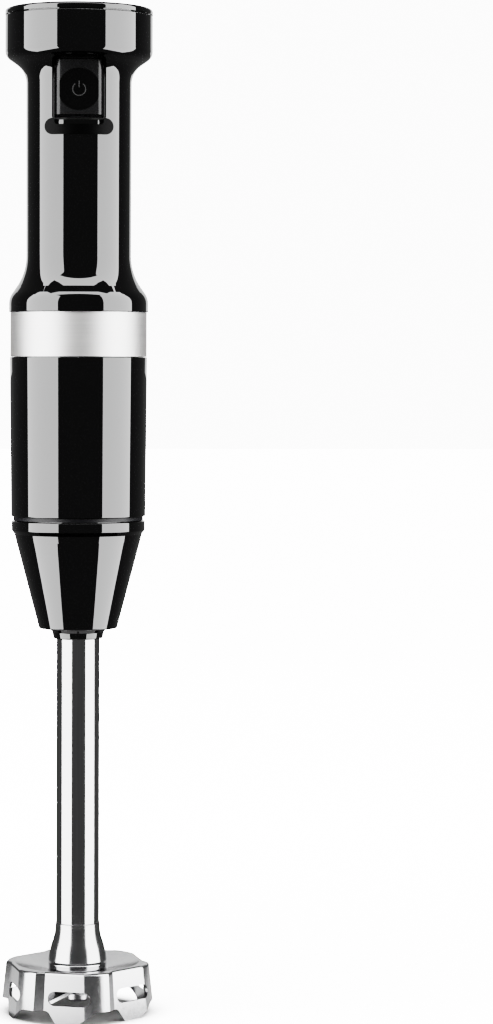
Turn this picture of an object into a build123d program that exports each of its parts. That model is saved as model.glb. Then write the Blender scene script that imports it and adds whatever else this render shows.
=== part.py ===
from build123d import *
import os
from math import cos, radians, sin, tan

# Immersion blender, millimetres. Z = 0 is the floor under the bell and the trigger faces -Y.
# An azimuth is an angle about Z, 0 at the front (-Y) and positive towards +X.

# ---- Driving dimensions: the outer shape ----
TOP = 411.0                 # highest point of the domed cap
CAP_EDGE = 409.9            # height of the cap's rim
CAP_SEAM = 407.2            # middle of the groove between cap and housing
SEAM_GAP = 0.5
HEAD_RADIUS = 30.2
HEAD_CORNER = (30.2, 390.4, 4.3)        # radius, height and rounding under the head
HANDLE_TOP = (21.6, 384.3, 9.3)         # where the head's slope meets the grip
HANDLE_RADIUS = 21.45
SHOULDER_TOP = (21.45, 302.0, 22.2)
SHOULDER_CORNER = (28.5, 291.9, 7.3)
BAND_TOP = 286.0
BAND_FOOT = 267.7
BAND_RADIUS = 27.9
BODY_TOP_RADIUS = 28.1
BODY_FOOT_RADIUS = 27.45
BODY_FOOT = 202.6
WALL = 2.2

# ---- Driving dimensions: the blending arm ----
HUB_TOP = 200.8
HUB_RING_RADIUS = 27.25
HUB_RING_FOOT = 197.0
HUB_CONE_TOP = (25.4, 192.6)
HUB_CONE_FOOT = (15.95, 156.8)
HUB_FOOT = 156.8
SPIGOT_RADIUS = 22.4
SPIGOT_TOP = 212.4
TUBE_RADIUS = 8.8
TUBE_WALL = 0.8
TUBE_TOP = 178.0
TUBE_FOOT = 36.5
SLEEVE_RADIUS = TUBE_RADIUS - TUBE_WALL - 0.05
UPPER_BUSH = (184.0, 194.0)
NECK_FOOT = 20.7
COLLAR_FOOT = 18.0
COLLAR_RADIUS = 11.9

# ---- Driving dimensions: the bell ----
BELL_HEIGHT = 20.6
BELL_SHEET = 1.0
BELL_LOBES = 6
BELL_ROUNDING = 1.2         # between side wall and top plate
SHOULDER_STEPS = 5
BELL_DRAFT = 5.5            # degrees that the side wall leans outwards on its way down
BELL_WAIST = 10.0           # height at which the plan sizes below are given
FLAT_AZIMUTH = -17.5        # direction that the first slotted flat faces
FLAT_APOTHEM = 27.6
# Corners from a flat's end to the next flat's start: along the flat, out from the axis, rounding.
LOBE_CORNERS = ((12.3, FLAT_APOTHEM, 4.0), (16.9, 25.7, 16.0), (20.6, 22.4, 1.5), (21.15, 18.56, 1.0))
SLOT_LENGTH = 17.7
SLOT_HEIGHT = 5.7
SLOT_CENTRE = (5.1, 10.3)   # along the flat, and above the floor
SCALLOP_AZIMUTH = 24.0
SCALLOP_RISE = 5.4

# ---- Driving dimensions: trigger and finger rest ----
TRIGGER_WIDTH = 19.0
TRIGGER_FOOT = 365.3
TRIGGER_TOP = 387.5
TRIGGER_FRONT = 21.9        # how far the face stands in front of the axis
TRIGGER_CURVE = 35.0        # radius of the face
TRIGGER_EDGE = 2.4          # rounding down each side of the face
TRIGGER_GAP = 1.4
PIVOT_Y = -16.5
PIVOT_Z = 385.0
PIN_RADIUS = 1.25
TRIGGER_WALL = 2.2
DIMPLE_RADIUS = 8.5
DIMPLE_HEIGHT = 375.5
DIMPLE_DEPTH = 0.9
SPRING_HEIGHT = 369.6
PLUNGER_ARM = 8.0           # height of the pivot above the switch plunger
REST_WIDTH = 27.8
REST_HEIGHT = 6.4
REST_CENTRE = 360.6
REST_TOP_RADIUS = 24.3      # the lip leans out towards its upper edge
REST_FOOT_RADIUS = 22.2
REST_NOTCH = 9.9            # half the width of the recess above the lip

# ---- Driving dimensions: switch and control board ----
BRACKET_FRONT = -12.0
BOARD_FRONT = -4.5
BOARD_THICKNESS = 1.6

# ---- Driving dimensions: drive train ----
ROTOR_SHAFT_RADIUS = 2.5
DRIVE_SHAFT_RADIUS = 3.0
RUNNING_FIT = 0.05
STATOR_FOOT = 232.0
STATOR_TOP = 260.0
STATOR_RADIUS = 21.9
ARMATURE_RADIUS = 11.8
AIR_GAP = 0.6
BLADE_RADIUS = 21.0
BLADE_WINGS = 4
BLADE_FOOT = 8.2
BLADE_SHEET = 1.4
COUPLER_FOOT = 203.6
HEX_CLEARANCE = 0.3
BEARING_RADIUS = 8.0
BEARING_WIDTH = 4.0
BEARING_LIP = 0.6
BRACKET_RADIUS = 24.3
LOWER_BRACKET = (215.0, 220.0)
UPPER_BRACKET = (276.0, 280.0)
BOLT_CIRCLE = 22.9
BOLT_RADIUS = 1.2

# ---- Driving dimensions: bayonet between arm and body ----
LUGS = 3
LUG_WIDTH = 24.0            # degrees
LUG_RADIUS = 24.1
LUG_FOOT = 207.0
LUG_HEIGHT = 3.5
UNLOCK_TURN = 20.0          # degrees from locked to free
BAYONET_FIT = 0.3

# ---- Driving dimensions: cord inlet ----
GLAND_HEIGHT = 400.0
GLAND_BORE = 3.6
GLAND_FACE = 30.5
GLAND_LENGTH = 12.0


# ---- Helpers ----

def turned(*corners):
    """Solid turned about Z; a corner is (radius, height) or (radius, height, rounding)."""
    points = [corner[:2] for corner in corners]
    roundings = [corner[2] if len(corner) == 3 else 0 for corner in corners]
    wire = FilletPolyline(*points, radius=roundings, close=True)
    return revolve(Plane.XZ * make_face(wire), Axis.Z)


def tube(outer, inner, low, high):
    return turned((inner, low), (outer, low), (outer, high), (inner, high))


def rod(radius, start, end):
    """Cylinder from one point to another."""
    run = Vector(*end) - Vector(*start)
    base = (Align.CENTER, Align.CENTER, Align.MIN)
    return Plane(origin=start, z_dir=run) * Cylinder(radius, run.length, align=base)


def slab(x, y, z):
    """Box between the given low and high limits on each axis."""
    return Pos(sum(x) / 2, sum(y) / 2, sum(z) / 2) * Box(x[1] - x[0], y[1] - y[0], z[1] - z[0])


def around(count, shape, first=0.0):
    """Copies of a shape spread evenly about Z."""
    return [Rot(0, 0, first + 360 * i / count) * shape for i in range(count)]


def less(shape, cutters):
    for cutter in cutters:
        shape = shape - cutter
    return shape


def joined(shape, others):
    for other in others:
        shape = shape + other
    return shape


def sector(outer, low, high, start, end):
    """Wedge of a cylinder between two azimuths less than 180 degrees apart."""
    reach = outer / cos(radians((end - start) / 2)) + 1
    corners = [(0, 0)] + [(reach * sin(radians(a)), -reach * cos(radians(a))) for a in (start, end)]
    wedge = extrude(Pos(0, 0, low) * make_face(Polyline(*corners, close=True)), high - low)
    return wedge & tube(outer, 0, low, high)


def coil(radius, wire, start, end, turns):
    """Open coil spring about the line from start to end."""
    run = Vector(*end) - Vector(*start)
    path = Helix(pitch=(run.length - 2 * wire) / turns, height=run.length - 2 * wire, radius=radius)
    section = Plane(origin=path @ 0, z_dir=path % 0) * Circle(wire)
    return Plane(origin=start, z_dir=run) * Pos(0, 0, wire) * sweep(section, path)


# ---- Casing ----

def top_cap():
    """Domed lid of the head, with a skirt that clips inside the housing."""
    low = CAP_SEAM + SEAM_GAP / 2
    rim = HEAD_RADIUS + 0.05
    skirt = HEAD_RADIUS - WALL - 0.3
    lid = turned((0, low), (rim, low), (rim, CAP_EDGE, 1.2), (0, CAP_EDGE))
    dome_radius = (rim ** 2 + (TOP - CAP_EDGE) ** 2) / (2 * (TOP - CAP_EDGE))
    dome = Pos(0, 0, TOP - dome_radius) * Sphere(dome_radius) & tube(rim - 1.2, 0, CAP_EDGE, TOP)
    lid = lid + dome - tube(skirt - 1.6, 0, low, low + 1.0)
    lid = lid + tube(skirt, skirt - 1.6, low - 5.0, low)
    clips = around(3, slab((-3, 3), (-skirt - 0.05, -skirt + 1), (low - 4.6, low - 3.4)), first=60)
    gland_notch = slab((-8, 8), (20, 29), (low - 6, low))
    return joined(lid, clips) - gland_notch


def trigger_opening():
    """Hole in the housing for the trigger and its frame."""
    half = TRIGGER_WIDTH / 2 + TRIGGER_GAP
    hole = slab((-half, half), (-40, -12), (TRIGGER_FOOT - 2.1, TRIGGER_TOP + 0.9))
    return fillet(hole.edges().filter_by(Axis.Y), 1.5)


def upper_housing():
    """Head, grip and shoulder, moulded as one shell."""
    rim = CAP_SEAM - SEAM_GAP / 2
    inner_grip = HANDLE_RADIUS - WALL
    shell = turned(
        (SHOULDER_CORNER[0] - 2.0, BAND_TOP), (SHOULDER_CORNER[0], BAND_TOP, 0.25), SHOULDER_CORNER,
        SHOULDER_TOP, HANDLE_TOP, HEAD_CORNER, (HEAD_RADIUS, rim, 0.3), (HEAD_RADIUS - WALL, rim),
        (HEAD_RADIUS - WALL, 392.0, 3.0), (inner_grip, 386.0, 6.0), (inner_grip, 302.8, 16.0),
        (SHOULDER_CORNER[0] - 2.0, 292.4, 5.0))
    gland_hole = rod(5.05, (0, 24, GLAND_HEIGHT), (0, 40, GLAND_HEIGHT))
    flange_seat = rod(6.45, (0, HEAD_RADIUS - 1.0, GLAND_HEIGHT), (0, 40, GLAND_HEIGHT))
    return less(shell, [trigger_opening(), gland_hole, flange_seat])


def trim_band():
    return turned((26.3, BAND_FOOT + 0.1), (BAND_RADIUS, BAND_FOOT + 0.1, 0.15),
                  (BAND_RADIUS, BAND_TOP - 0.1, 0.15), (26.3, BAND_TOP - 0.1))


def lower_housing():
    """Motor housing, with a spigot that carries the band and enters the upper housing."""
    inner = BODY_FOOT_RADIUS - WALL
    return turned(
        (inner, BODY_FOOT), (BODY_FOOT_RADIUS, BODY_FOOT, 0.5), (BODY_TOP_RADIUS, BAND_FOOT, 0.3),
        (26.2, BAND_FOOT), (26.2, 289.5), (24.5, 289.5), (24.5, BAND_FOOT + 4), (inner, BAND_FOOT - 3))


def arm_socket():
    """Ring in the foot of the housing with the bayonet tracks for the arm's lugs."""
    inner = SPIGOT_RADIUS + BAYONET_FIT
    outer = BODY_FOOT_RADIUS - WALL - 0.1
    ring = turned((inner, 201.1), (26.5, 201.1), (26.5, BODY_FOOT), (outer, BODY_FOOT),
                  (outer, 213.0), (17.9, 213.0), (17.9, SPIGOT_TOP + 0.15), (inner, SPIGOT_TOP + 0.15))
    half = LUG_WIDTH / 2 + 1.5
    track_radius = LUG_RADIUS + BAYONET_FIT
    track_foot = LUG_FOOT - BAYONET_FIT
    track_top = LUG_FOOT + LUG_HEIGHT + BAYONET_FIT
    track = sector(track_radius, track_foot, track_top, -half, UNLOCK_TURN + half)
    entry = sector(track_radius, 200, track_top, UNLOCK_TURN - half, UNLOCK_TURN + half)
    return less(ring, around(LUGS, track + entry))


# ---- Trigger ----

def trigger_bezel():
    """Dark frame that lines the trigger's opening."""
    outer = TRIGGER_WIDTH / 2 + TRIGGER_GAP - 0.05
    inner = TRIGGER_WIDTH / 2 + 0.4
    low, high = TRIGGER_FOOT - 2.05, TRIGGER_TOP + 0.85
    depth = (-20.6, -14.5)
    frame = slab((-outer, outer), depth, (low, high))
    frame = fillet(frame.edges().filter_by(Axis.Y), 1.4)
    frame -= slab((-inner, inner), (-40, 0), (low + 0.8, high - 0.4))
    ears = [slab(side, (PIVOT_Y - 2.3, -12.5), (PIVOT_Z - 2.6, high - 0.1))
            for side in ((-outer, -inner), (inner, outer))]
    pin_bore = rod(PIN_RADIUS, (-20, PIVOT_Y, PIVOT_Z), (20, PIVOT_Y, PIVOT_Z))
    return (joined(frame, ears) & tube(HANDLE_RADIUS - 0.25, 0, low, high)) - pin_bore


def trigger():
    """Pressed cap, hinged at its top, with a round thumb dimple and a rib for the switch."""
    half = TRIGGER_WIDTH / 2
    front = -TRIGGER_FRONT
    curve = Pos(0, front + TRIGGER_CURVE, 0) * tube(TRIGGER_CURVE, 0, TRIGGER_FOOT, TRIGGER_TOP)
    cap = slab((-half, half), (-25, -17.2), (TRIGGER_FOOT, TRIGGER_TOP)) & curve
    sides = cap.edges().filter_by(Axis.Z).group_by(Axis.Y)[0]
    cap = fillet(sides, TRIGGER_EDGE)
    cap -= slab((1.5 - half, half - 1.5), (front + TRIGGER_WALL, 0),
                (TRIGGER_FOOT + 1.5, TRIGGER_TOP - 1.5))
    cap -= rod(DIMPLE_RADIUS, (0, -30, DIMPLE_HEIGHT), (0, front + DIMPLE_DEPTH, DIMPLE_HEIGHT))
    barrel = rod(2.3, (-7, PIVOT_Y, PIVOT_Z), (7, PIVOT_Y, PIVOT_Z))
    webs = slab((-7, 7), (-20, PIVOT_Y), (PIVOT_Z - 1.0, PIVOT_Z + 1.2))
    rib = slab((-2.0, 2.0), (-20.0, PIVOT_Y + 1.1),
               (PIVOT_Z - PLUNGER_ARM - 1.5, PIVOT_Z - PLUNGER_ARM + 1.5))
    pin_bore = rod(PIN_RADIUS + RUNNING_FIT, (-20, PIVOT_Y, PIVOT_Z), (20, PIVOT_Y, PIVOT_Z))
    return joined(cap, [barrel, webs, rib]) - pin_bore


def trigger_pin():
    half = TRIGGER_WIDTH / 2 + TRIGGER_GAP - 0.2
    return rod(PIN_RADIUS, (-half, PIVOT_Y, PIVOT_Z), (half, PIVOT_Y, PIVOT_Z))


def trigger_spring():
    return coil(2.2, 0.3, (0, -19.6, SPRING_HEIGHT), (0, BRACKET_FRONT, SPRING_HEIGHT), 5)


def finger_rest():
    """Raised lip under the trigger, leaning out at the top and hooked up at both ends."""
    low, high = REST_CENTRE - REST_HEIGHT / 2, REST_CENTRE + REST_HEIGHT / 2
    inner = HANDLE_RADIUS + 0.15
    ring = turned((inner, low), (REST_FOOT_RADIUS, low), (REST_TOP_RADIUS, high), (inner, high))
    bar = Plane.XZ * Pos(0, REST_CENTRE) * SlotOverall(REST_WIDTH, REST_HEIGHT)
    notch = slab((-REST_NOTCH, REST_NOTCH), (-40, 0), (REST_CENTRE + 0.7, high + 1))
    notch = fillet(notch.edges().filter_by(Axis.Y).group_by(Axis.Z)[0], 1.2)
    return (extrude(bar, 30) & ring) - notch


# ---- Switch and control board ----

def switch_bracket():
    plate = slab((-9.5, 9.5), (BRACKET_FRONT, BRACKET_FRONT + 1.5), (364.5, 383.5))
    legs = [slab(x, (BRACKET_FRONT, BOARD_FRONT), (364.5, 368.0)) for x in ((-9.5, -7.5), (7.5, 9.5))]
    plunger_hole = rod(1.8, (0, -20, PIVOT_Z - PLUNGER_ARM), (0, -5, PIVOT_Z - PLUNGER_ARM))
    return joined(plate, legs) - plunger_hole


def switch_body():
    axis = PIVOT_Z - PLUNGER_ARM
    body = slab((-6.4, 6.4), (BRACKET_FRONT + 1.5, BOARD_FRONT), (axis - 5.5, axis + 6.0))
    body = fillet(body.edges().filter_by(Axis.Y), 0.6)
    return body - rod(1.55, (0, -20, axis), (0, BOARD_FRONT - 1.0, axis))


def switch_plunger():
    axis = PIVOT_Z - PLUNGER_ARM
    stem = rod(1.5, (0, -15.2, axis), (0, BOARD_FRONT - 2.9, axis))
    return fillet(stem.edges().group_by(Axis.Y)[0], 0.5)


def control_board():
    board = slab((-14, 14), (BOARD_FRONT, BOARD_FRONT + BOARD_THICKNESS), (304, 388))
    board = fillet(board.edges().filter_by(Axis.Y), 2.0)
    return less(board, [rod(1.5, (x, -8, z), (x, 0, z)) for x in (-11, 11) for z in (308, 384)])


def capacitor():
    back = BOARD_FRONT + BOARD_THICKNESS
    body = slab((-9, 9), (back, back + 8.5), (343, 359))
    return fillet(body.edges().filter_by(Axis.Y), 0.8)


def heat_sink():
    """Small finned sink behind the board."""
    back = BOARD_FRONT + BOARD_THICKNESS
    plate = slab((-9.2, 9.2), (back + 5.0, back + 7.0), (314, 336))
    fins = [slab((x, x + 1.2), (back + 7.0, back + 12.0), (314, 336)) for x in (-9.2, -4.9, -0.6, 3.7, 8.0)]
    return joined(plate, fins)


def triac():
    """Speed-control device, bolted flat to the sink, with three leads into the board."""
    back = BOARD_FRONT + BOARD_THICKNESS
    body = slab((-5, 5), (back + 1.2, back + 5.0), (320, 334))
    leads = [slab((x - 0.4, x + 0.4), (back, back + 2.0), (316, 320.2)) for x in (-2.5, 0, 2.5)]
    return joined(body, leads)


def choke_coils():
    back = BOARD_FRONT + BOARD_THICKNESS
    one = rod(4.2, (0, back, 367.5), (0, back + 8.6, 367.5)) - rod(1.4, (0, back + 1, 367.5), (0, 20, 367.5))
    return Compound(children=[Pos(x, 0, 0) * one for x in (-6.5, 6.5)])


def board_screws():
    """Four pan-head screws through the board into the bosses of the heat-proof carrier."""
    one = rod(2.6, (0, BOARD_FRONT - 1.6, 0), (0, BOARD_FRONT, 0))
    one += rod(1.4, (0, BOARD_FRONT, 0), (0, BOARD_FRONT + 7, 0))
    one -= slab((-0.4, 0.4), (-8, BOARD_FRONT - 0.9), (-1.6, 1.6))
    return Compound(children=[Pos(x, 0, z) * one for x in (-11, 11) for z in (308, 384)])


def board_carrier():
    """Moulded spine that holds the board inside the grip."""
    back = BOARD_FRONT + BOARD_THICKNESS
    bosses = [rod(3.2, (x, back, z), (x, back + 9, z)) for x in (-11, 11) for z in (308, 384)]
    rails = [slab((x - 1.2, x + 1.2), (back + 9, back + 15), (304, 388)) for x in (-11, 11)]
    ties = [slab((-12, 12), (back + 12.2, back + 15), (z - 2, z + 2)) for z in (306, 340, 386)]
    body = joined(bosses[0], bosses[1:] + rails + ties)
    return less(body, [rod(1.45, (x, -8, z), (x, back + 7, z)) for x in (-11, 11) for z in (308, 384)])


def terminal_block():
    back = BOARD_FRONT + BOARD_THICKNESS
    body = slab((-6.5, 6.5), (back, back + 8), (374, 383))
    return less(body, [rod(1.3, (x, back + 4, 376), (x, back + 4, 390)) for x in (-3.2, 3.2)])


def lead_wires():
    """Two insulated leads from the board down to the brush holders."""
    leads = []
    for side in (-1, 1):
        route = FilletPolyline((side * 6, BOARD_FRONT + 2.6, 308), (side * 6, BOARD_FRONT + 2.6, 296),
                               (side * 15.5, 0, 290), (side * 15.5, 0, 276.1), radius=3.5)
        section = Plane(origin=route @ 0, z_dir=route % 0) * Circle(0.9)
        leads.append(sweep(section, route))
    return Compound(children=leads)


# ---- Cord inlet ----

def cord_gland():
    """Rubber bush through the back of the head; a mains cord would leave through its bore."""
    inner_end = GLAND_FACE - GLAND_LENGTH
    body = rod(5.0, (0, inner_end, GLAND_HEIGHT), (0, GLAND_FACE, GLAND_HEIGHT))
    flange = rod(6.4, (0, HEAD_RADIUS - 0.95, GLAND_HEIGHT), (0, GLAND_FACE, GLAND_HEIGHT))
    collar = rod(6.4, (0, inner_end + 2, GLAND_HEIGHT), (0, HEAD_RADIUS - WALL - 1.5, GLAND_HEIGHT))
    bore = rod(GLAND_BORE, (0, 0, GLAND_HEIGHT), (0, 40, GLAND_HEIGHT))
    return body + flange + collar - bore


def cord_clamp():
    """Bridge and saddle that grip the cord inside the head."""
    saddle = slab((-10, 10), (9, 15), (394.6, 398.2))
    bridge = slab((-10, 10), (9, 15), (401.0, 403.4))
    throat = rod(GLAND_BORE, (0, 0, GLAND_HEIGHT - 0.3), (0, 20, GLAND_HEIGHT - 0.3))
    posts = [slab(x, (9, 15), (398.2, 401.0)) for x in ((-10, -4.6), (4.6, 10))]
    body = joined(saddle, posts + [bridge]) - throat
    return less(body, [rod(1.5, (x, 12, 390), (x, 12, 410)) for x in (-7.3, 7.3)])


def clamp_screws():
    one = rod(1.45, (0, 12, 391.5), (0, 12, 403.4)) + rod(2.7, (0, 12, 403.4), (0, 12, 405.0))
    one -= slab((-2, 2), (11.6, 12.4), (404.3, 406))
    return Compound(children=[Pos(x, 0, 0) * one for x in (-7.3, 7.3)])


# ---- Motor, fixed parts ----

def motor_bolt_holes(radius, low, high):
    return around(4, rod(radius, (0, -BOLT_CIRCLE, low), (0, -BOLT_CIRCLE, high)), first=45)


def motor_bracket(low, high, bearing_opens_up):
    """Round end plate with a bearing seat and four air windows."""
    plate = tube(BRACKET_RADIUS, 4.0, low, high)
    seat_low, seat_high = (low + BEARING_LIP, high) if bearing_opens_up else (low, high - BEARING_LIP)
    plate -= tube(BEARING_RADIUS, 0, seat_low, seat_high)
    window = sector(19.5, low - 1, high + 1, -24, 24) - tube(11.5, 0, low - 1, high + 1)
    plate = less(plate, around(4, window))
    return less(plate, motor_bolt_holes(BOLT_RADIUS, low - 1, high + 1))


def lower_bracket():
    return motor_bracket(*LOWER_BRACKET, bearing_opens_up=True)


def upper_bracket():
    return motor_bracket(*UPPER_BRACKET, bearing_opens_up=False)


def bearing(low):
    high = low + BEARING_WIDTH
    race = tube(BEARING_RADIUS, ROTOR_SHAFT_RADIUS + RUNNING_FIT, low, high)
    groove = tube(6.3, 4.6, high - 0.4, high + 1)
    return race - groove - Pos(0, 0, low - high) * tube(6.3, 4.6, high - 1, high + 0.4)


def lower_bearing():
    return bearing(LOWER_BRACKET[0] + BEARING_LIP)


def upper_bearing():
    return bearing(UPPER_BRACKET[1] - BEARING_LIP - BEARING_WIDTH)


def stator_core():
    """Stack of laminations with two poles that close on the armature."""
    bore = ARMATURE_RADIUS + AIR_GAP
    stack = tube(STATOR_RADIUS, 0, STATOR_FOOT, STATOR_TOP)
    stack = stack & slab((-STATOR_RADIUS, STATOR_RADIUS), (-18.5, 18.5), (STATOR_FOOT, STATOR_TOP))
    window = slab((-13.2, 13.2), (-14.5, 14.5), (0, 300))
    poles = tube(bore + 3.0, 0, STATOR_FOOT, STATOR_TOP) & slab((-20, 20), (-9.5, 9.5), (0, 300))
    necks = slab((-15, 15), (-6.5, 6.5), (STATOR_FOOT, STATOR_TOP))
    stack = (stack - window) + poles + necks - tube(bore, 0, 0, 300)
    return less(stack, motor_bolt_holes(BOLT_RADIUS + 0.3, STATOR_FOOT, STATOR_TOP))


def field_coils():
    """Two wound coils, one round each pole's flank, standing proud of the stack."""
    clear = ARMATURE_RADIUS + AIR_GAP + 0.2
    coils = []
    for side in (-1, 1):
        outer = slab((-12.9, 12.9), (10.0, 14.3), (228.4, 263.6))
        outer = fillet(outer.edges().filter_by(Axis.Y), 3.0)
        hole = slab((-7.0, 7.0), (0, 20), (236.0, 256.0))
        coils.append(Rot(0, 0, 90 - 90 * side) * (outer - hole - tube(clear, 0, 0, 300)))
    return Compound(children=coils)


def brush_holders():
    """Two brass boxes that guide the brushes towards the commutator."""
    one = slab((9.6, 21.0), (-3.6, 3.6), (266.4, 273.6)) - slab((0, 20.2), (-2.6, 2.6), (267.4, 272.6))
    one += slab((12.0, 20.0), (-1.5, 1.5), (273.6, UPPER_BRACKET[0]))
    return Compound(children=around(2, one))


def carbon_brushes():
    one = slab((8.6, 15.0), (-2.5, 2.5), (267.5, 272.5)) - tube(8.65, 0, 260, 280)
    return Compound(children=around(2, one))


def brush_springs():
    one = coil(1.7, 0.25, (15.0, 0, 270.0), (20.2, 0, 270.0), 4)
    return Compound(children=around(2, one))


def motor_bolts():
    one = rod(BOLT_RADIUS, (0, -BOLT_CIRCLE, LOWER_BRACKET[0]), (0, -BOLT_CIRCLE, UPPER_BRACKET[1]))
    head = rod(2.2, (0, -BOLT_CIRCLE + 0.9, UPPER_BRACKET[1]), (0, -BOLT_CIRCLE + 0.9, UPPER_BRACKET[1] + 1.6))
    return Compound(children=around(4, one + head, first=45))


def motor_mounts():
    """Rubber rings above and below the motor that keep its vibration out of the casing."""
    lower = turned((18.0, 213.0), (24.8, 213.0, 0.5), (24.8, LOWER_BRACKET[0], 0.5), (18.0, LOWER_BRACKET[0]))
    upper = turned((8.6, UPPER_BRACKET[1]), (12.0, UPPER_BRACKET[1]), (12.0, UPPER_BRACKET[1] + 3.5, 1.0),
                   (8.6, UPPER_BRACKET[1] + 3.5, 1.0))
    return Compound(children=[lower, upper])


# ---- Motor, turning parts ----

def motor_shaft():
    shaft = rod(ROTOR_SHAFT_RADIUS, (0, 0, 208.6), (0, 0, 282.0))
    return chamfer(shaft.edges().group_by(Axis.Z)[-1], 0.4)


def armature_core():
    core = tube(ARMATURE_RADIUS, ROTOR_SHAFT_RADIUS, STATOR_FOOT, STATOR_TOP)
    slot = slab((-1.3, 1.3), (-10.8, -6.0), (STATOR_FOOT - 1, STATOR_TOP + 1))
    mouth = slab((-0.5, 0.5), (-13, -10), (STATOR_FOOT - 1, STATOR_TOP + 1))
    return less(core, around(12, slot + mouth))


def armature_windings():
    """End turns of the rotor's coils, bound above and below the core."""
    lower = turned((4.0, 228.4, 1), (10.6, 228.4, 1.4), (11.2, STATOR_FOOT), (4.0, STATOR_FOOT))
    upper = turned((4.0, STATOR_TOP), (11.2, STATOR_TOP), (10.0, 264.6, 1.6), (4.0, 264.6, 1))
    grooves = around(12, rod(0.5, (0, -11.2, 227), (0, -10.2, 266)))
    bundles = around(12, slab((-1.2, 1.2), (-10.7, -6.1), (STATOR_FOOT, STATOR_TOP)))
    return joined(less(lower, grooves) + less(upper, grooves), bundles)


def commutator():
    body = tube(8.5, ROTOR_SHAFT_RADIUS, 265.5, 274.6)
    slits = around(12, slab((-0.25, 0.25), (-9, -7.6), (265, 275)))
    return less(body, slits)


def cooling_fan():
    """Radial fan pressed on the shaft under the armature."""
    hub = tube(5.0, ROTOR_SHAFT_RADIUS, 221.2, 227.4)
    disc = tube(20.4, ROTOR_SHAFT_RADIUS, 221.2, 222.4)
    blade = slab((-0.5, 0.5), (-20.0, -4.6), (222.4, 227.0))
    return joined(hub + disc, around(9, blade))


def hexagon(across_flats, low, high):
    return extrude(Pos(0, 0, low) * RegularPolygon(across_flats / 2, 6, major_radius=False), high - low)


def drive_coupler():
    """Female half of the dog coupling, on the foot of the motor shaft."""
    body = turned((0, COUPLER_FOOT), (8.5, COUPLER_FOOT, 0.6), (8.5, 212.3, 0.6), (0, 212.3))
    socket = hexagon(9.0 + 2 * HEX_CLEARANCE, COUPLER_FOOT - 1, 208.6)
    return body - socket - tube(ROTOR_SHAFT_RADIUS, 0, 208.6, 213)


# ---- Blending arm ----

def arm_hub():
    """Black cone of the arm, with the spigot and bayonet lugs that lock into the body."""
    slope_wall = WALL + 0.3
    cone = turned(
        (TUBE_RADIUS + 0.15, HUB_FOOT), (HUB_CONE_FOOT[0], HUB_FOOT, 0.8), HUB_CONE_TOP,
        (26.1, 195.4), (HUB_RING_RADIUS, HUB_RING_FOOT, 0.4), (HUB_RING_RADIUS, HUB_TOP, 0.3),
        (SPIGOT_RADIUS, HUB_TOP), (SPIGOT_RADIUS, SPIGOT_TOP, 0.6), (SPIGOT_RADIUS - WALL, SPIGOT_TOP, 0.4),
        (SPIGOT_RADIUS - WALL, 196.0), (HUB_CONE_TOP[0] - slope_wall, 191.0),
        (HUB_CONE_FOOT[0] - slope_wall, 160.0), (TUBE_RADIUS + 0.15, 160.0))
    lug = sector(LUG_RADIUS, LUG_FOOT, LUG_FOOT + LUG_HEIGHT, -LUG_WIDTH / 2, LUG_WIDTH / 2)
    lug -= tube(SPIGOT_RADIUS - 1, 0, LUG_FOOT, LUG_FOOT + LUG_HEIGHT)
    return joined(cone, around(LUGS, lug))


def hub_core():
    """Inner moulding of the hub, which holds the tube and the upper bush."""
    boss = turned(
        (TUBE_RADIUS + 0.02, 160.1), (13.0, 160.1), (13.0, 162.6), (11.4, 165.0), (11.4, 191.0),
        (20.0, 193.5), (20.0, 196.0), (7.6, 196.0), (7.6, UPPER_BUSH[1]), (7.05, UPPER_BUSH[1]),
        (7.05, TUBE_TOP), (TUBE_RADIUS + 0.02, TUBE_TOP))
    envelope = turned((0, 165), (13.0, 165), (20.0, 191.5), (0, 191.5))
    rib = slab((-0.8, 0.8), (-16.0, -11.0), (165.0, 191.5)) & envelope
    return joined(boss, around(6, rib))


def hub_boot():
    """Soft collar that seals the tube where it enters the hub."""
    bore = TUBE_RADIUS + 0.02
    return turned((bore, 152.6), (10.0, 152.6, 0.6), (10.6, 155.3, 0.6), (11.8, HUB_FOOT), (bore, HUB_FOOT))


def arm_tube():
    return turned((TUBE_RADIUS - TUBE_WALL, TUBE_FOOT + 0.1), (TUBE_RADIUS, TUBE_FOOT + 0.1, 0.15),
                  (TUBE_RADIUS, TUBE_TOP), (TUBE_RADIUS - TUBE_WALL, TUBE_TOP))


def bush(low, high, outer):
    body = tube(outer, DRIVE_SHAFT_RADIUS + RUNNING_FIT, low, high)
    return chamfer(body.edges().group_by(Axis.Z)[0] + body.edges().group_by(Axis.Z)[-1], 0.3)


def upper_bush():
    return bush(*UPPER_BUSH, 7.0)


def lower_bush():
    return bush(24.0, 46.0, 6.0)


def bearing_sleeve():
    """Steel sleeve that joins tube, neck and bell, and holds the lower bush and the seal."""
    return turned((6.0, 13.7), (SLEEVE_RADIUS, 13.7, 0.3), (SLEEVE_RADIUS, 48.0, 0.3), (6.0, 48.0))


def shaft_seal():
    """Rubber lip seal round the drive shaft, above the blade."""
    gap = DRIVE_SHAFT_RADIUS + 0.1
    return turned((gap, 14.6), (3.9, 14.6), (4.4, 19.5), (5.2, 19.5), (5.2, 14.6), (5.95, 14.6),
                  (5.95, 22.8), (gap, 22.8))


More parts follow.
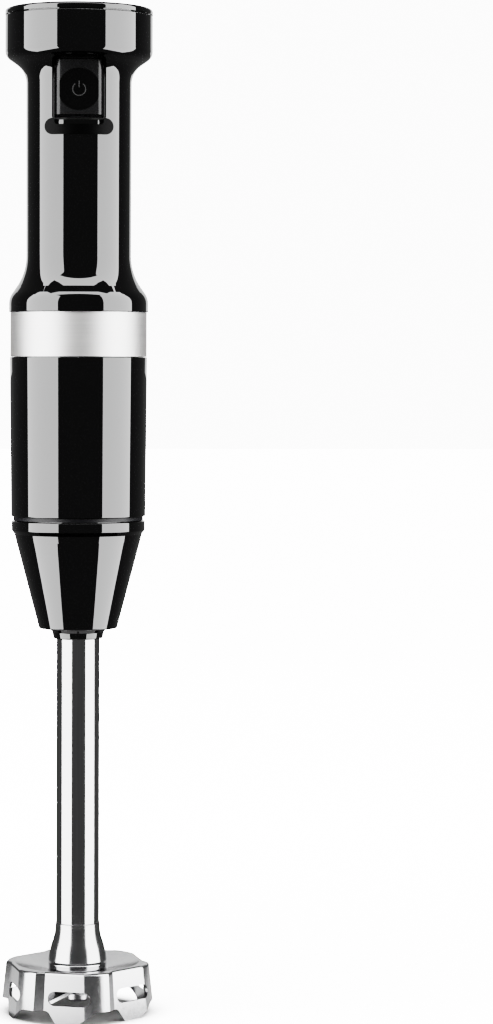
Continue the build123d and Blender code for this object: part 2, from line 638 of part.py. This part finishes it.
def neck():
    """Flared steel skirt between the tube and the bell."""
    outer = Spline((9.06, TUBE_FOOT - 0.1), (9.55, 31.3), (10.75, 27.6), (12.0, NECK_FOOT + 0.7),
                   tangents=((0, -1), (0.2, -1)))
    edge = Polyline((12.0, NECK_FOOT + 0.7), (11.7, NECK_FOOT), (SLEEVE_RADIUS + 0.02, NECK_FOOT),
                    (SLEEVE_RADIUS + 0.02, TUBE_FOOT - 0.1), (9.06, TUBE_FOOT - 0.1))
    return revolve(Plane.XZ * make_face([outer, edge]), Axis.Z)


def neck_collar():
    high = NECK_FOOT - 0.05
    return turned((SLEEVE_RADIUS + 0.02, COLLAR_FOOT), (COLLAR_RADIUS, COLLAR_FOOT, 0.6),
                  (COLLAR_RADIUS, high, 0.7), (SLEEVE_RADIUS + 0.02, high))


# ---- Bell ----

def bell_plan(offset):
    """Plan outline of the bell: six slotted flats with a gently curved lobe after each."""
    growth = 1 + offset / FLAT_APOTHEM
    corners, roundings = [], []
    for lobe in range(BELL_LOBES):
        turn = Rot(0, 0, FLAT_AZIMUTH + 360 * lobe / BELL_LOBES)
        for along, out, rounding in LOBE_CORNERS:
            corners.append((turn * Pos(along * growth, -out * growth, 0)).position)
            roundings.append(rounding * growth)
    return make_face(FilletPolyline(*corners, radius=roundings, close=True))


def bell_form(sections):
    """Drafted solid through the plan outline; a section is (height, inset)."""
    lean = tan(radians(BELL_DRAFT))
    plans = [Pos(0, 0, z) * bell_plan((BELL_WAIST - z) * lean - inset) for z, inset in sections]
    return loft(plans, ruled=True)


def bell_shoulder():
    """Sections of the rounded edge between side wall and top plate."""
    angles = [radians(90 * i / SHOULDER_STEPS) for i in range(SHOULDER_STEPS + 1)]
    base = BELL_HEIGHT - BELL_ROUNDING
    return [(base + BELL_ROUNDING * sin(a), BELL_ROUNDING * (1 - cos(a))) for a in angles]


def bell_slot():
    """One juice slot, cut square to its flat."""
    along, height = SLOT_CENTRE
    outline = Plane.XZ * Pos(along, height) * SlotOverall(SLOT_LENGTH, SLOT_HEIGHT)
    return Rot(0, 0, FLAT_AZIMUTH) * Pos(0, -20, 0) * extrude(outline, 20)


def bell_scallop():
    """One arch cut into the foot of the wall, steeper on its right-hand side."""
    outline = FilletPolyline(
        (-16.5, -2), (-16.5, 0), (-12.9, 0), (-5.6, SCALLOP_RISE), (5.4, SCALLOP_RISE), (9.0, 0),
        (12.0, 0), (12.0, -2), radius=[0, 0, 2.6, 5.0, 2.4, 1.2, 0, 0], close=True)
    arch = Plane.XZ * make_face(outline)
    return Rot(0, 0, SCALLOP_AZIMUTH) * Pos(0, -18, 0) * extrude(arch, 24)


def bell():
    """Pressed steel guard round the blade, with a dished top plate."""
    outer = bell_form([(0, 0)] + bell_shoulder())
    dish = turned((0, COLLAR_FOOT - 0.05), (12.4, COLLAR_FOOT - 0.05, 3), (25.4, BELL_HEIGHT, 0),
                  (25.4, BELL_HEIGHT + 5), (0, BELL_HEIGHT + 5))
    underside = BELL_HEIGHT - BELL_SHEET - 0.1
    ceiling = turned((0, COLLAR_FOOT - 1.05), (12.4, COLLAR_FOOT - 1.05), (26.0, underside),
                     (40, underside), (40, 40), (0, 40))
    cavity = bell_form([(-1, BELL_SHEET), (BELL_HEIGHT - 0.2, BELL_SHEET)]) - ceiling
    shell = outer - dish - cavity - tube(SLEEVE_RADIUS + 0.02, 0, 0, 40)
    shell = less(shell, around(BELL_LOBES, bell_slot()))
    return less(shell, around(BELL_LOBES, bell_scallop()))


def bell_nut():
    """Slotted ring nut that pulls the bell up against the collar."""
    low, high = 13.75, COLLAR_FOOT - 1.1
    ring = turned((SLEEVE_RADIUS + 0.02, low), (10.6, low, 0.4), (10.6, high), (SLEEVE_RADIUS + 0.02, high))
    return less(ring, around(4, slab((-1, 1), (-12, -9.4), (low - 1, high + 1))))


# ---- Cutter ----

def drive_shaft():
    shaft = rod(DRIVE_SHAFT_RADIUS, (0, 0, 5.0), (0, 0, 196.5))
    shaft = chamfer(shaft.edges().group_by(Axis.Z)[0], 0.4)
    return shaft - tube(4, DRIVE_SHAFT_RADIUS - 0.5, 182.5, 183.5)


def driven_coupler():
    """Male half of the dog coupling, pressed on the head of the drive shaft."""
    flange = turned((0, 194.3), (6.8, 194.3, 0.4), (6.8, 199.8, 0.6), (0, 199.8))
    key = chamfer(hexagon(9.0, 199.8, 208.0).edges().group_by(Axis.Z)[-1], 0.8)
    return flange + key - tube(DRIVE_SHAFT_RADIUS, 0, 190, 196.5)


def retaining_clip():
    """Snap ring in the shaft's groove, under the upper bush."""
    ring = tube(5.4, DRIVE_SHAFT_RADIUS - 0.45, 182.55, 183.45)
    return ring - slab((-1.6, 1.6), (-8, 0), (180, 186))


def blade_hub():
    return turned((DRIVE_SHAFT_RADIUS, 9.6), (5.6, 9.6, 0.4), (5.0, 13.3, 0.6), (DRIVE_SHAFT_RADIUS, 13.3))


def blade_wing(tip_rise):
    """One curved wing, bent up or down from the blade's flat middle."""
    bend = 8.0
    top = BLADE_FOOT + BLADE_SHEET
    side_view = FilletPolyline(
        (0, BLADE_FOOT), (bend, BLADE_FOOT), (BLADE_RADIUS + 1, BLADE_FOOT + tip_rise),
        (BLADE_RADIUS + 1, top + tip_rise), (bend, top), (0, top), radius=[0, 2.5, 0, 0, 2.5, 0], close=True)
    bent = extrude(Plane.XZ * make_face(side_view), 12, both=True)
    leading = ThreePointArc((0, -5.2), (12.0, -5.4), (BLADE_RADIUS, 1.5))
    trailing = ThreePointArc((BLADE_RADIUS, 1.5), (12.0, 2.2), (0, 5.2))
    plan = make_face([leading, trailing, Line((0, 5.2), (0, -5.2))])
    return bent & extrude(plan, 30)


def blade():
    """Four-point blade: two wings up and two down, in turn."""
    body = tube(6.2, 0, BLADE_FOOT, BLADE_FOOT + BLADE_SHEET)
    for wing in range(BLADE_WINGS):
        rise = 4.4 if wing % 2 == 0 else -3.0
        body += Rot(0, 0, -40 + 360 / BLADE_WINGS * wing) * blade_wing(rise)
    return body - tube(DRIVE_SHAFT_RADIUS, 0, 0, 30)


def blade_nut():
    """Domed nut that holds the blade on the shaft."""
    body = turned((0, 4.6), (4.6, 4.6, 1.2), (4.9, BLADE_FOOT), (0, BLADE_FOOT))
    return body - tube(DRIVE_SHAFT_RADIUS, 0, 5.0, 12)


# ---- Output: one file for each node ----

PARTS = [
    top_cap, upper_housing, trim_band, lower_housing, arm_socket,
    trigger_bezel, trigger, trigger_pin, trigger_spring, finger_rest,
    switch_bracket, switch_body, switch_plunger, control_board, board_carrier, capacitor, heat_sink, triac,
    choke_coils, board_screws, terminal_block, lead_wires,
    cord_gland, cord_clamp, clamp_screws,
    lower_bracket, upper_bracket, lower_bearing, upper_bearing, stator_core, field_coils,
    brush_holders, carbon_brushes, brush_springs, motor_bolts, motor_mounts,
    motor_shaft, armature_core, armature_windings, commutator, cooling_fan, drive_coupler,
    arm_hub, hub_core, hub_boot, arm_tube, upper_bush, lower_bush, bearing_sleeve, shaft_seal,
    neck, neck_collar, bell, bell_nut,
    drive_shaft, driven_coupler, retaining_clip, blade_hub, blade, blade_nut,
]

os.makedirs("parts", exist_ok=True)
for make in PARTS:
    export_step(make(), f"parts/{make.__name__}.step")
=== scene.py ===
from math import cos, pi, radians, sin

import bmesh
import bpy
from mathutils import Matrix, Vector


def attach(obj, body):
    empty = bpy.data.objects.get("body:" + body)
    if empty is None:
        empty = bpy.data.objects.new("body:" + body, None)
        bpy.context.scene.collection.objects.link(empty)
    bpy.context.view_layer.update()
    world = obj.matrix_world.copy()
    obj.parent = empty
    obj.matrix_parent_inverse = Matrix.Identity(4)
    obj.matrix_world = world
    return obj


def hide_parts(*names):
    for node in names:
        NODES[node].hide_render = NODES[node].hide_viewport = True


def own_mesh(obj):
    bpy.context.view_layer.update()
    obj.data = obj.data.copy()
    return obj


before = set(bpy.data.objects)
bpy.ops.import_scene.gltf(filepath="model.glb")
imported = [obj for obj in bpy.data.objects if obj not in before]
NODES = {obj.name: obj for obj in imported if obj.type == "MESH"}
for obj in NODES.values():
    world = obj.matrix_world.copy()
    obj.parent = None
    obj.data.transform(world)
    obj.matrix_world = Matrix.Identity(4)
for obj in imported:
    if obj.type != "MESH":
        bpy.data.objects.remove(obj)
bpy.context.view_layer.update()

# Metres, as on the trigger: the thumb dimple's centre height, radius and soft edge.
DIMPLE_HEIGHT = 0.3755
DIMPLE_RADIUS = 0.0085
DIMPLE_EDGE = 0.0003

# ---------------------------------------------------------------- shader helpers


class Shader:
    """A node material with short calls for the nodes used here."""

    def __init__(self, name, colour, metallic=0.0, roughness=0.5, **sockets):
        self.material = bpy.data.materials.new(name)
        self.material.use_nodes = True
        self.tree = self.material.node_tree
        self.bsdf = self.tree.nodes["Principled BSDF"]
        self.bsdf.inputs["Base Color"].default_value = (*colour, 1.0)
        self.bsdf.inputs["Metallic"].default_value = metallic
        self.bsdf.inputs["Roughness"].default_value = roughness
        for socket, value in sockets.items():
            self.bsdf.inputs[socket.replace("_", " ")].default_value = value

    def node(self, kind, **values):
        made = self.tree.nodes.new("ShaderNode" + kind)
        for name, value in values.items():
            setattr(made, name, value)
        return made

    def link(self, source, target):
        self.tree.links.new(source, target)

    def place(self, scale=(1, 1, 1)):
        """Object coordinates, stretched."""
        where = self.node("TexCoord")
        mapping = self.node("Mapping")
        mapping.inputs["Scale"].default_value = scale
        self.link(where.outputs["Object"], mapping.inputs["Vector"])
        return mapping.outputs["Vector"]

    def noise(self, scale, stretch=(1, 1, 1), detail=3.0, rough=0.5):
        made = self.node("TexNoise")
        made.inputs["Scale"].default_value = scale
        made.inputs["Detail"].default_value = detail
        made.inputs["Roughness"].default_value = rough
        self.link(self.place(stretch), made.inputs["Vector"])
        return made.outputs["Fac"]

    def bands(self, direction, scale, distortion=0.0):
        made = self.node("TexWave", bands_direction=direction)
        made.inputs["Scale"].default_value = scale
        made.inputs["Distortion"].default_value = distortion
        self.link(self.place(), made.inputs["Vector"])
        return made.outputs["Fac"]

    def spread(self, value, low, high, start=0.0, end=1.0):
        """Maps start..end to low..high."""
        made = self.node("MapRange")
        made.inputs["From Min"].default_value = start
        made.inputs["From Max"].default_value = end
        made.inputs["To Min"].default_value = low
        made.inputs["To Max"].default_value = high
        self.link(value, made.inputs["Value"])
        return made.outputs["Result"]

    def vary_roughness(self, value, low, high):
        self.link(self.spread(value, low, high), self.bsdf.inputs["Roughness"])

    def vary_colour(self, value, low, high, start=0.3, end=0.7):
        ramp = self.node("ValToRGB")
        ramp.color_ramp.elements[0].position = start
        ramp.color_ramp.elements[1].position = end
        ramp.color_ramp.elements[0].color = (*low, 1.0)
        ramp.color_ramp.elements[1].color = (*high, 1.0)
        self.link(value, ramp.inputs["Fac"])
        self.link(ramp.outputs["Color"], self.bsdf.inputs["Base Color"])

    def bump(self, value, height, strength=1.0):
        made = self.node("Bump")
        made.inputs["Strength"].default_value = strength
        made.inputs["Distance"].default_value = height
        self.link(value, made.inputs["Height"])
        self.link(made.outputs["Normal"], self.bsdf.inputs["Normal"])


def placed(name, data):
    """New object with this data, in the scene."""
    made = bpy.data.objects.new(name, data)
    bpy.context.scene.collection.objects.link(made)
    return made


def scaled(colour, factor):
    return tuple(min(1.0, c * factor) for c in colour)


def gloss_plastic(name, colour, roughness=0.02):
    """Polished moulding: faint flow waviness and a few duller handling patches."""
    s = Shader(name, colour, roughness=roughness, IOR=1.6, Coat_Weight=1.0, Coat_Roughness=0.015,
               Coat_IOR=1.5)
    patches = s.noise(55, detail=4)
    s.vary_roughness(patches, roughness * 0.75, roughness * 1.45)
    s.vary_colour(s.noise(30), scaled(colour, 0.85), scaled(colour, 1.25))
    s.bump(s.noise(420, detail=1), 0.0000012, 0.6)
    return s.material


def trigger_plastic(name):
    """Satin face round a polished thumb dimple."""
    s = Shader(name, (0.02, 0.02, 0.021), roughness=0.22, IOR=1.5)
    centre = s.node("VectorMath", operation="SUBTRACT")
    centre.inputs[1].default_value = (0, 0, DIMPLE_HEIGHT)
    flat = s.node("VectorMath", operation="MULTIPLY")
    flat.inputs[1].default_value = (1, 0, 1)
    length = s.node("VectorMath", operation="LENGTH")
    s.link(s.place(), centre.inputs[0])
    s.link(centre.outputs[0], flat.inputs[0])
    s.link(flat.outputs[0], length.inputs[0])
    edge = s.spread(length.outputs["Value"], 0.0, 1.0,
                    DIMPLE_RADIUS - DIMPLE_EDGE, DIMPLE_RADIUS + DIMPLE_EDGE)
    s.vary_roughness(edge, 0.1, 0.24)
    s.vary_colour(edge, (0.003, 0.003, 0.003), (0.014, 0.014, 0.0145), 0.0, 1.0)
    s.bump(s.noise(2600, detail=2), 0.000012, 0.3)
    return s.material


def moulded_plastic(name, colour, roughness=0.5, grain=2600, **sockets):
    """Fine spark-eroded grain."""
    s = Shader(name, colour, roughness=roughness, IOR=1.47, **sockets)
    s.vary_colour(s.noise(60), scaled(colour, 0.85), scaled(colour, 1.15))
    s.vary_roughness(s.noise(90), roughness * 0.85, roughness * 1.15)
    s.bump(s.noise(grain, detail=2), 0.00003, 0.35)
    return s.material


def rubber(name, colour):
    s = Shader(name, colour, roughness=0.75, IOR=1.45)
    s.vary_colour(s.noise(140), scaled(colour, 0.8), scaled(colour, 1.3))
    s.bump(s.noise(1800, detail=4), 0.00005, 0.4)
    return s.material


def brushed(name, colour, roughness, stretch, scale=90, depth=0.000004, **sockets):
    """Metal with fine parallel scratches; stretch is small along the scratches."""
    s = Shader(name, colour, metallic=1.0, roughness=roughness, **sockets)
    lines = s.noise(scale, stretch, detail=5, rough=0.65)
    s.vary_colour(lines, scaled(colour, 0.93), scaled(colour, 1.05), 0.25, 0.75)
    s.vary_roughness(lines, roughness * 0.8, roughness * 1.2)
    s.bump(lines, depth, 0.6)
    return s


def metal(name, colour, roughness, scale=260, depth=0.000008):
    s = Shader(name, colour, metallic=1.0, roughness=roughness)
    s.vary_colour(s.noise(scale), scaled(colour, 0.86), scaled(colour, 1.1))
    s.vary_roughness(s.noise(scale * 0.6), roughness * 0.75, roughness * 1.3)
    s.bump(s.noise(scale * 6), depth, 0.5)
    return s.material


def laminated(name):
    """Stacked steel sheets seen from the side."""
    s = Shader(name, (0.2, 0.2, 0.21), metallic=0.85, roughness=0.45)
    sheets = s.bands("Z", 320)
    s.vary_colour(sheets, (0.1, 0.1, 0.105), (0.26, 0.26, 0.27))
    s.bump(sheets, 0.00008, 0.7)
    return s.material


def wound(name, direction):
    """Enamelled copper wire laid side by side."""
    s = Shader(name, (0.55, 0.2, 0.07), metallic=0.9, roughness=0.3, Coat_Weight=0.5, Coat_Roughness=0.1)
    turns = s.bands(direction, 380, distortion=0.6)
    s.vary_colour(turns, (0.3, 0.09, 0.03), (0.68, 0.28, 0.11))
    s.bump(turns, 0.00012, 0.8)
    return s.material


def circuit_board(name):
    s = Shader(name, (0.02, 0.14, 0.06), roughness=0.35, Coat_Weight=0.3, Coat_Roughness=0.2)
    tracks = s.node("TexBrick")
    tracks.inputs["Scale"].default_value = 160
    tracks.inputs["Color1"].default_value = (0.02, 0.13, 0.05, 1)
    tracks.inputs["Color2"].default_value = (0.025, 0.17, 0.07, 1)
    tracks.inputs["Mortar"].default_value = (0.06, 0.3, 0.14, 1)
    tracks.inputs["Mortar Size"].default_value = 0.03
    turn = s.node("Mapping")
    turn.inputs["Rotation"].default_value = (pi / 2, 0, 0)
    s.link(s.place(), turn.inputs["Vector"])
    s.link(turn.outputs["Vector"], tracks.inputs["Vector"])
    s.link(tracks.outputs["Color"], s.bsdf.inputs["Base Color"])
    s.bump(tracks.outputs["Fac"], 0.00004, 0.5)
    return s.material


BLACK = (0.0015, 0.0015, 0.0016)
STEEL = (0.5, 0.5, 0.505)
band = brushed("brushed_band_steel", (0.74, 0.735, 0.73), 0.58, (0.12, 0.12, 26), scale=160,
               depth=0.00001, Anisotropic=0.5, Anisotropic_Rotation=0.25)
turn_round = band.node("Tangent", direction_type="RADIAL", axis="Z")
band.link(turn_round.outputs["Tangent"], band.bsdf.inputs["Tangent"])

MATERIALS = {
    "gloss": gloss_plastic("gloss_black_plastic", BLACK),
    "trigger": trigger_plastic("trigger_black_plastic"),
    "frame": moulded_plastic("frame_black_plastic", (0.003, 0.003, 0.003), 0.6),
    "rest": moulded_plastic("rest_black_plastic", (0.0015, 0.0015, 0.0015), 0.4,
                            Specular_IOR_Level=0.15),
    "grey": moulded_plastic("grey_nylon", (0.19, 0.19, 0.2)),
    "dark": moulded_plastic("dark_component", (0.012, 0.012, 0.014), 0.42),
    "film": moulded_plastic("capacitor_shell", (0.6, 0.36, 0.05), 0.33),
    "rubber": rubber("black_rubber", (0.012, 0.012, 0.012)),
    "wire": moulded_plastic("lead_insulation", (0.02, 0.06, 0.3), 0.4),
    "band": band.material,
    "tube": brushed("polished_arm_steel", STEEL, 0.1, (9, 9, 0.25), depth=0.0000015).material,
    "neck": brushed("turned_neck_steel", STEEL, 0.16, (3, 3, 6), depth=0.0000015).material,
    "bell": brushed("satin_bell_steel", STEEL, 0.2, (1, 1, 1.6), scale=420, depth=0.000002).material,
    "blade": brushed("ground_blade_steel", (0.6, 0.6, 0.61), 0.2, (12, 1, 1), depth=0.000008).material,
    "steel": metal("plain_steel", (0.46, 0.46, 0.47), 0.3),
    "aluminium": metal("sink_aluminium", (0.72, 0.73, 0.75), 0.35),
    "brass": metal("holder_brass", (0.72, 0.5, 0.19), 0.28),
    "bronze": metal("bush_bronze", (0.5, 0.31, 0.14), 0.42),
    "carbon": metal("brush_carbon", (0.03, 0.03, 0.032), 0.6),
    "laminated": laminated("laminated_steel"),
    "copper": wound("field_winding_copper", "Z"),
    "rotor_copper": wound("armature_winding_copper", "X"),
    "board": circuit_board("board_fibreglass"),
    "segments": metal("commutator_copper", (0.66, 0.3, 0.16), 0.25),
}

LOOKS = {
    "gloss": "top_cap upper_housing lower_housing arm_hub hub_boot",
    "rest": "finger_rest",
    "trigger": "trigger",
    "frame": "trigger_bezel",
    "grey": "switch_bracket switch_plunger board_carrier terminal_block cord_clamp "
            "lower_bracket upper_bracket cooling_fan hub_core",
    "dark": "arm_socket switch_body triac drive_coupler driven_coupler",
    "film": "capacitor",
    "rubber": "cord_gland motor_mounts shaft_seal",
    "wire": "lead_wires",
    "band": "trim_band",
    "tube": "arm_tube",
    "neck": "neck neck_collar",
    "bell": "bell",
    "blade": "blade",
    "steel": "trigger_pin trigger_spring board_screws clamp_screws lower_bearing upper_bearing "
             "brush_springs motor_bolts motor_shaft bearing_sleeve bell_nut drive_shaft "
             "retaining_clip blade_hub blade_nut",
    "aluminium": "heat_sink",
    "brass": "brush_holders",
    "bronze": "upper_bush lower_bush",
    "carbon": "carbon_brushes",
    "laminated": "stator_core armature_core",
    "copper": "field_coils choke_coils",
    "rotor_copper": "armature_windings",
    "board": "control_board",
    "segments": "commutator",
}
for look, names in LOOKS.items():
    for name in names.split():
        for slot in NODES[name].material_slots:
            slot.material = MATERIALS[look]

# ---------------------------------------------------------------- printed power symbol

SYMBOL_AT = Vector((0.0, -0.02101, DIMPLE_HEIGHT))
SYMBOL_RADIUS = 0.0026
SYMBOL_OPENING = radians(34)
SYMBOL_STEPS = 40
SYMBOL_BAR = (0.0006, 0.002, 0.0034)
SYMBOL_STROKE = 0.0005
SYMBOL_DEPTH = 0.00006


def stroke(mesh, path, width):
    """Raised line along a path in the XZ plane, as a closed strip of quads."""
    rows = []
    for index, point in enumerate(path):
        ahead = path[min(index + 1, len(path) - 1)] - path[max(index - 1, 0)]
        across = Vector((-ahead.z, 0, ahead.x)).normalized() * width / 2
        row = []
        for side, depth in ((-1, 0), (-0.8, SYMBOL_DEPTH), (0.8, SYMBOL_DEPTH), (1, 0)):
            row.append(mesh.verts.new(point + across * side + Vector((0, -depth, 0))))
        rows.append(row)
    for low, high in zip(rows, rows[1:]):
        for column in range(3):
            mesh.faces.new((low[column], low[column + 1], high[column + 1], high[column]))
    for row in (rows[0], rows[-1]):
        mesh.faces.new(row)


def power_symbol():
    """Open ring with an upright bar, the generic on/off sign."""
    sweep = 2 * pi - 2 * SYMBOL_OPENING
    angles = [SYMBOL_OPENING + sweep * step / SYMBOL_STEPS for step in range(SYMBOL_STEPS + 1)]
    shape = bmesh.new()
    stroke(shape, [SYMBOL_AT + Vector((sin(a), 0, cos(a))) * SYMBOL_RADIUS for a in angles], SYMBOL_STROKE)
    stroke(shape, [SYMBOL_AT + Vector((0, 0, z)) for z in SYMBOL_BAR], SYMBOL_STROKE)
    bmesh.ops.recalc_face_normals(shape, faces=shape.faces)
    made = bpy.data.meshes.new("power_symbol")
    shape.to_mesh(made)
    shape.free()
    symbol = placed("power_symbol", made)
    made.materials.append(moulded_plastic("symbol_print", (0.035, 0.035, 0.035), 0.5))
    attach(symbol, "trigger_body")


power_symbol()

# ---------------------------------------------------------------- return spring

SPRING_HEIGHT = 0.3696
SPRING_FRONT, SPRING_SEAT = -0.0196, -0.012
COIL_RADIUS, WIRE_RADIUS = 0.0022, 0.00028
COIL_STEPS, WIRE_SIDES = 320, 8


def coil_point(share, turns=6.5, closed=0.12):
    """Point of the wire's centre line; the first and last coils lie flat against their seats."""
    rise = min(1.0, max(0.0, (share - closed) / (1 - 2 * closed)))
    depth = SPRING_FRONT + WIRE_RADIUS + rise * (SPRING_SEAT - SPRING_FRONT - 2 * WIRE_RADIUS)
    angle = 2 * pi * turns * share
    return Vector((COIL_RADIUS * cos(angle), depth, SPRING_HEIGHT + COIL_RADIUS * sin(angle)))


def return_spring():
    """Wound spring with closed ends that runs towards the switch bracket; it is fixed to the motor body
    and keeps its length.
    """
    path = [coil_point(step / COIL_STEPS) for step in range(COIL_STEPS + 1)]
    shape = bmesh.new()
    rings = []
    for index, point in enumerate(path):
        along = (path[min(index + 1, COIL_STEPS)] - path[max(index - 1, 0)]).normalized()
        outwards = Vector((point.x, 0, point.z - SPRING_HEIGHT)).normalized()
        across = along.cross(outwards).normalized()
        rings.append([shape.verts.new(point + WIRE_RADIUS * (outwards * cos(a) + across * sin(a)))
                      for a in (2 * pi * side / WIRE_SIDES for side in range(WIRE_SIDES))])
    for low, high in zip(rings, rings[1:]):
        for side in range(WIRE_SIDES):
            after = (side + 1) % WIRE_SIDES
            shape.faces.new((low[side], low[after], high[after], high[side]))
    shape.faces.new(rings[0])
    shape.faces.new(rings[-1])
    bmesh.ops.recalc_face_normals(shape, faces=shape.faces)
    for face in shape.faces:
        face.smooth = True
    made = bpy.data.meshes.new("return_spring")
    shape.to_mesh(made)
    shape.free()
    spring = placed("return_spring", made)
    made.materials.append(MATERIALS["steel"])
    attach(spring, "motor_body")
    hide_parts("trigger_spring")
    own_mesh(spring)


return_spring()

# ---------------------------------------------------------------- floor, light and camera

SOFTBOX = 4.3


def area(name, centre, facing, up, width, height, radiance):
    """Rectangular softbox, unseen by the camera."""
    data = bpy.data.lights.new(name, "AREA")
    data.shape = "RECTANGLE"
    data.size, data.size_y = width, height
    data.energy = radiance * width * height * pi
    light = placed(name, data)
    forward = Vector(facing).normalized()
    side = Vector(up).cross(-forward).normalized()
    top = (-forward).cross(side)
    light.matrix_world = Matrix.Translation(centre) @ Matrix((side, top, -forward)).transposed().to_4x4()
    light.visible_camera = False


REACH = 0.9
ROOF = 1.5
area("left_softbox", (-REACH, -0.634, 0.45), (1, 0, 0), (0, 0, 1), 1.394, 2.1, SOFTBOX)
area("right_softbox", (REACH, -0.463, 0.45), (-1, 0, 0), (0, 0, 1), 1.146, 2.1, SOFTBOX)
area("top_softbox", (0, -0.67, ROOF), (0, 0, -1), (0, 1, 0), 2 * REACH, 0.46, SOFTBOX)
area("backdrop_glow", (0, 1.5, 0.75), (0, -1, 0), (0, 0, 1), 1.8, 1.0, 0.7)
area("rear_softbox", (0, 1.1, 1.4), (0, -1, -1), (0, 1, -1), 1.8, 1.0, 0.12)

FLOOR_REACH = 9.0
RING_SIDES = 48
RING_RADII = (0.033, 0.17)
RING_DROP = 0.0005
CLOSE_BY = 0.2
RING_GLOW = 0.7
CAMERA_BOOST = 6.0
# Painted shade: the paper's colour scale for camera rays under the bell.
PAINTED_SHADE_UNDER_BELL = 0.5
WORLD_SEEN = 5.0
WORLD_DIM = 0.12


def floor_paper():
    """Pale paper, lifted towards white for camera rays outside the bell and far from it; under the bell
    its colour for camera rays is turned down, which is painted shade.
    """
    paper = Shader("pale_paper", (0.8, 0.8, 0.8), roughness=0.9)
    paper.tree.nodes.remove(paper.bsdf)
    diffuse = paper.node("BsdfDiffuse")
    diffuse.inputs["Color"].default_value = (0.75, 0.75, 0.75, 1)
    distance = paper.node("VectorMath", operation="LENGTH")
    paper.link(paper.place(), distance.inputs[0])
    away = distance.outputs["Value"]
    glow = paper.node("Emission")
    paper.link(paper.spread(away, 0.0, 8.0, 0.04, 0.5), glow.inputs["Strength"])
    lift_and_painted_shade = paper.node("VectorMath", operation="SCALE")
    lift_and_painted_shade.inputs[0].default_value = (1, 1, 1)
    # Painted shade under the bell: camera rays see the paper's colour scaled by PAINTED_SHADE_UNDER_BELL
    # there, and by CAMERA_BOOST outside it.
    paper.link(paper.spread(away, PAINTED_SHADE_UNDER_BELL, CAMERA_BOOST, 0.028, 0.04), lift_and_painted_shade.inputs["Scale"])
    bright = paper.node("BsdfDiffuse")
    paper.link(lift_and_painted_shade.outputs["Vector"], bright.inputs["Color"])
    total = paper.node("AddShader")
    paper.link(bright.outputs[0], total.inputs[0])
    paper.link(glow.outputs[0], total.inputs[1])
    mix = paper.node("MixShader")
    paper.link(paper.node("LightPath").outputs["Is Camera Ray"], mix.inputs["Fac"])
    paper.link(diffuse.outputs[0], mix.inputs[1])
    paper.link(total.outputs[0], mix.inputs[2])
    paper.link(mix.outputs[0], paper.tree.nodes["Material Output"].inputs["Surface"])
    return paper.material


def painted_reflection_ring():
    """Painted reflection of the lit floor: a glow that only pieces close to the floor reflect."""
    sheen = Shader("painted_floor_reflection", (0.8, 0.8, 0.8))
    sheen.tree.nodes.remove(sheen.bsdf)
    lit = sheen.node("Emission")
    close_by = sheen.node("Math", operation="LESS_THAN")
    close_by.inputs[1].default_value = CLOSE_BY
    gain = sheen.node("Math", operation="MULTIPLY")
    gain.inputs[1].default_value = RING_GLOW
    sheen.link(sheen.node("LightPath").outputs["Ray Length"], close_by.inputs[0])
    sheen.link(close_by.outputs[0], gain.inputs[0])
    sheen.link(gain.outputs[0], lit.inputs["Strength"])
    sheen.link(lit.outputs[0], sheen.tree.nodes["Material Output"].inputs["Surface"])
    return sheen.material


def lay_floor():
    corners = [(x * FLOOR_REACH, y * FLOOR_REACH, 0) for x, y in ((-1, -1), (1, -1), (1, 1), (-1, 1))]
    floor_mesh = bpy.data.meshes.new("floor")
    floor_mesh.from_pydata(corners, [], [(0, 1, 2, 3)])
    floor_mesh.materials.append(floor_paper())
    floor = placed("floor", floor_mesh)
    floor.visible_glossy = False


def lay_near_floor():
    """Flat ring round the bell, seen in reflections only, where its glow is a painted reflection of the
    floor.
    """
    angles = [2 * pi * side / RING_SIDES for side in range(RING_SIDES)]
    points = [(radius * cos(a), radius * sin(a), -RING_DROP) for radius in RING_RADII for a in angles]
    quads = []
    for side in range(RING_SIDES):
        after = (side + 1) % RING_SIDES
        quads.append((side, after, RING_SIDES + after, RING_SIDES + side))
    near_mesh = bpy.data.meshes.new("near_floor")
    near_mesh.from_pydata(points, [], quads)
    near_mesh.materials.append(painted_reflection_ring())
    near_floor = placed("near_floor", near_mesh)
    near_floor.visible_camera = near_floor.visible_diffuse = near_floor.visible_shadow = False


def light_world():
    """White behind the object for the camera, dim for everything else."""
    world = bpy.data.worlds.new("studio")
    bpy.context.scene.world = world
    world.use_nodes = True
    sky = world.node_tree
    seen = sky.nodes["Background"]
    dim = sky.nodes.new("ShaderNodeBackground")
    for background, strength in ((seen, WORLD_SEEN), (dim, WORLD_DIM)):
        background.inputs["Color"].default_value = (1, 1, 1, 1)
        background.inputs["Strength"].default_value = strength
    ray = sky.nodes.new("ShaderNodeLightPath")
    mix = sky.nodes.new("ShaderNodeMixShader")
    sky.links.new(ray.outputs["Is Camera Ray"], mix.inputs["Fac"])
    sky.links.new(dim.outputs[0], mix.inputs[1])
    sky.links.new(seen.outputs[0], mix.inputs[2])
    sky.links.new(mix.outputs[0], sky.nodes["World Output"].inputs["Surface"])


lay_floor()
lay_near_floor()
light_world()

YAW, ROLL = radians(-3.1), radians(0.108)
camera_data = bpy.data.cameras.new("camera")
camera_data.lens = 109.0
camera_data.sensor_width = 36.0
camera_data.clip_start = 0.01
camera_data.shift_y = -0.1387
camera = placed("camera", camera_data)
camera.location = (0, -1.271, 0.2625)
camera.rotation_euler = (Matrix.Rotation(YAW, 4, "Z") @ Matrix.Rotation(pi / 2, 4, "X")
                         @ Matrix.Rotation(ROLL, 4, "Z")).to_euler()
bpy.context.scene.camera = camera

view = bpy.context.scene.view_settings
view.view_transform = "Filmic"
view.look = "Very High Contrast"
